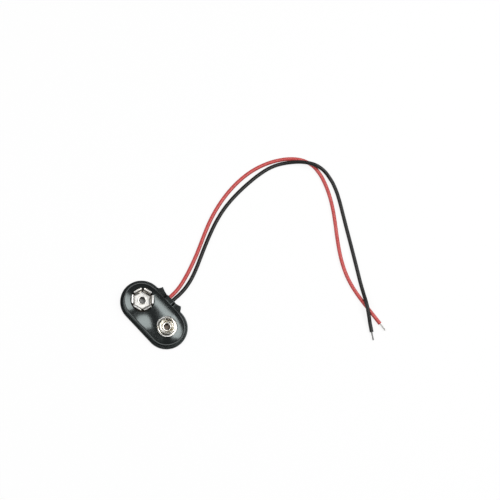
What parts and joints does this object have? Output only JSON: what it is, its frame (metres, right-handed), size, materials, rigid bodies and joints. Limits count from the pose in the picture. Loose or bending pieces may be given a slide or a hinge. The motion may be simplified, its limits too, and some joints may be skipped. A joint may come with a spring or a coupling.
{
  "type": "9v battery snap",
  "caption": "Soft battery snap with a hexagonal petal socket and a round stud in a welded black cover, and a red and a black lead with stripped ends.",
  "frame": {"origin": "on the flat back face, under the midpoint of the two contacts", "axes": "+X from the socket to the stud, +Y to the side where the leads leave, +Z out of the contacts"},
  "size_m": [0.0771, 0.0922, 0.0059],
  "materials": {
    "cover_vinyl": "smooth glossy black vinyl",
    "fibre_board": "matt vulcanised fibre",
    "nickel": "bright nickel plate",
    "solder": "satin solder",
    "red_insulation": "satin red insulation",
    "black_insulation": "satin black insulation",
    "tinned_copper": "tinned strands"
  },
  "bodies": {
    "root": {"front_cover": "cover_vinyl", "back_cover": "cover_vinyl", "base_plate": "fibre_board", "socket_contact": "nickel", "stud_contact": "nickel", "socket_rivet": "nickel", "stud_rivet": "nickel", "red_solder": "solder", "black_solder": "solder", "red_lead": "red_insulation", "red_bare_ends": "tinned_copper", "black_lead": "black_insulation", "black_bare_ends": "tinned_copper"}
  },
  "joints": []
}
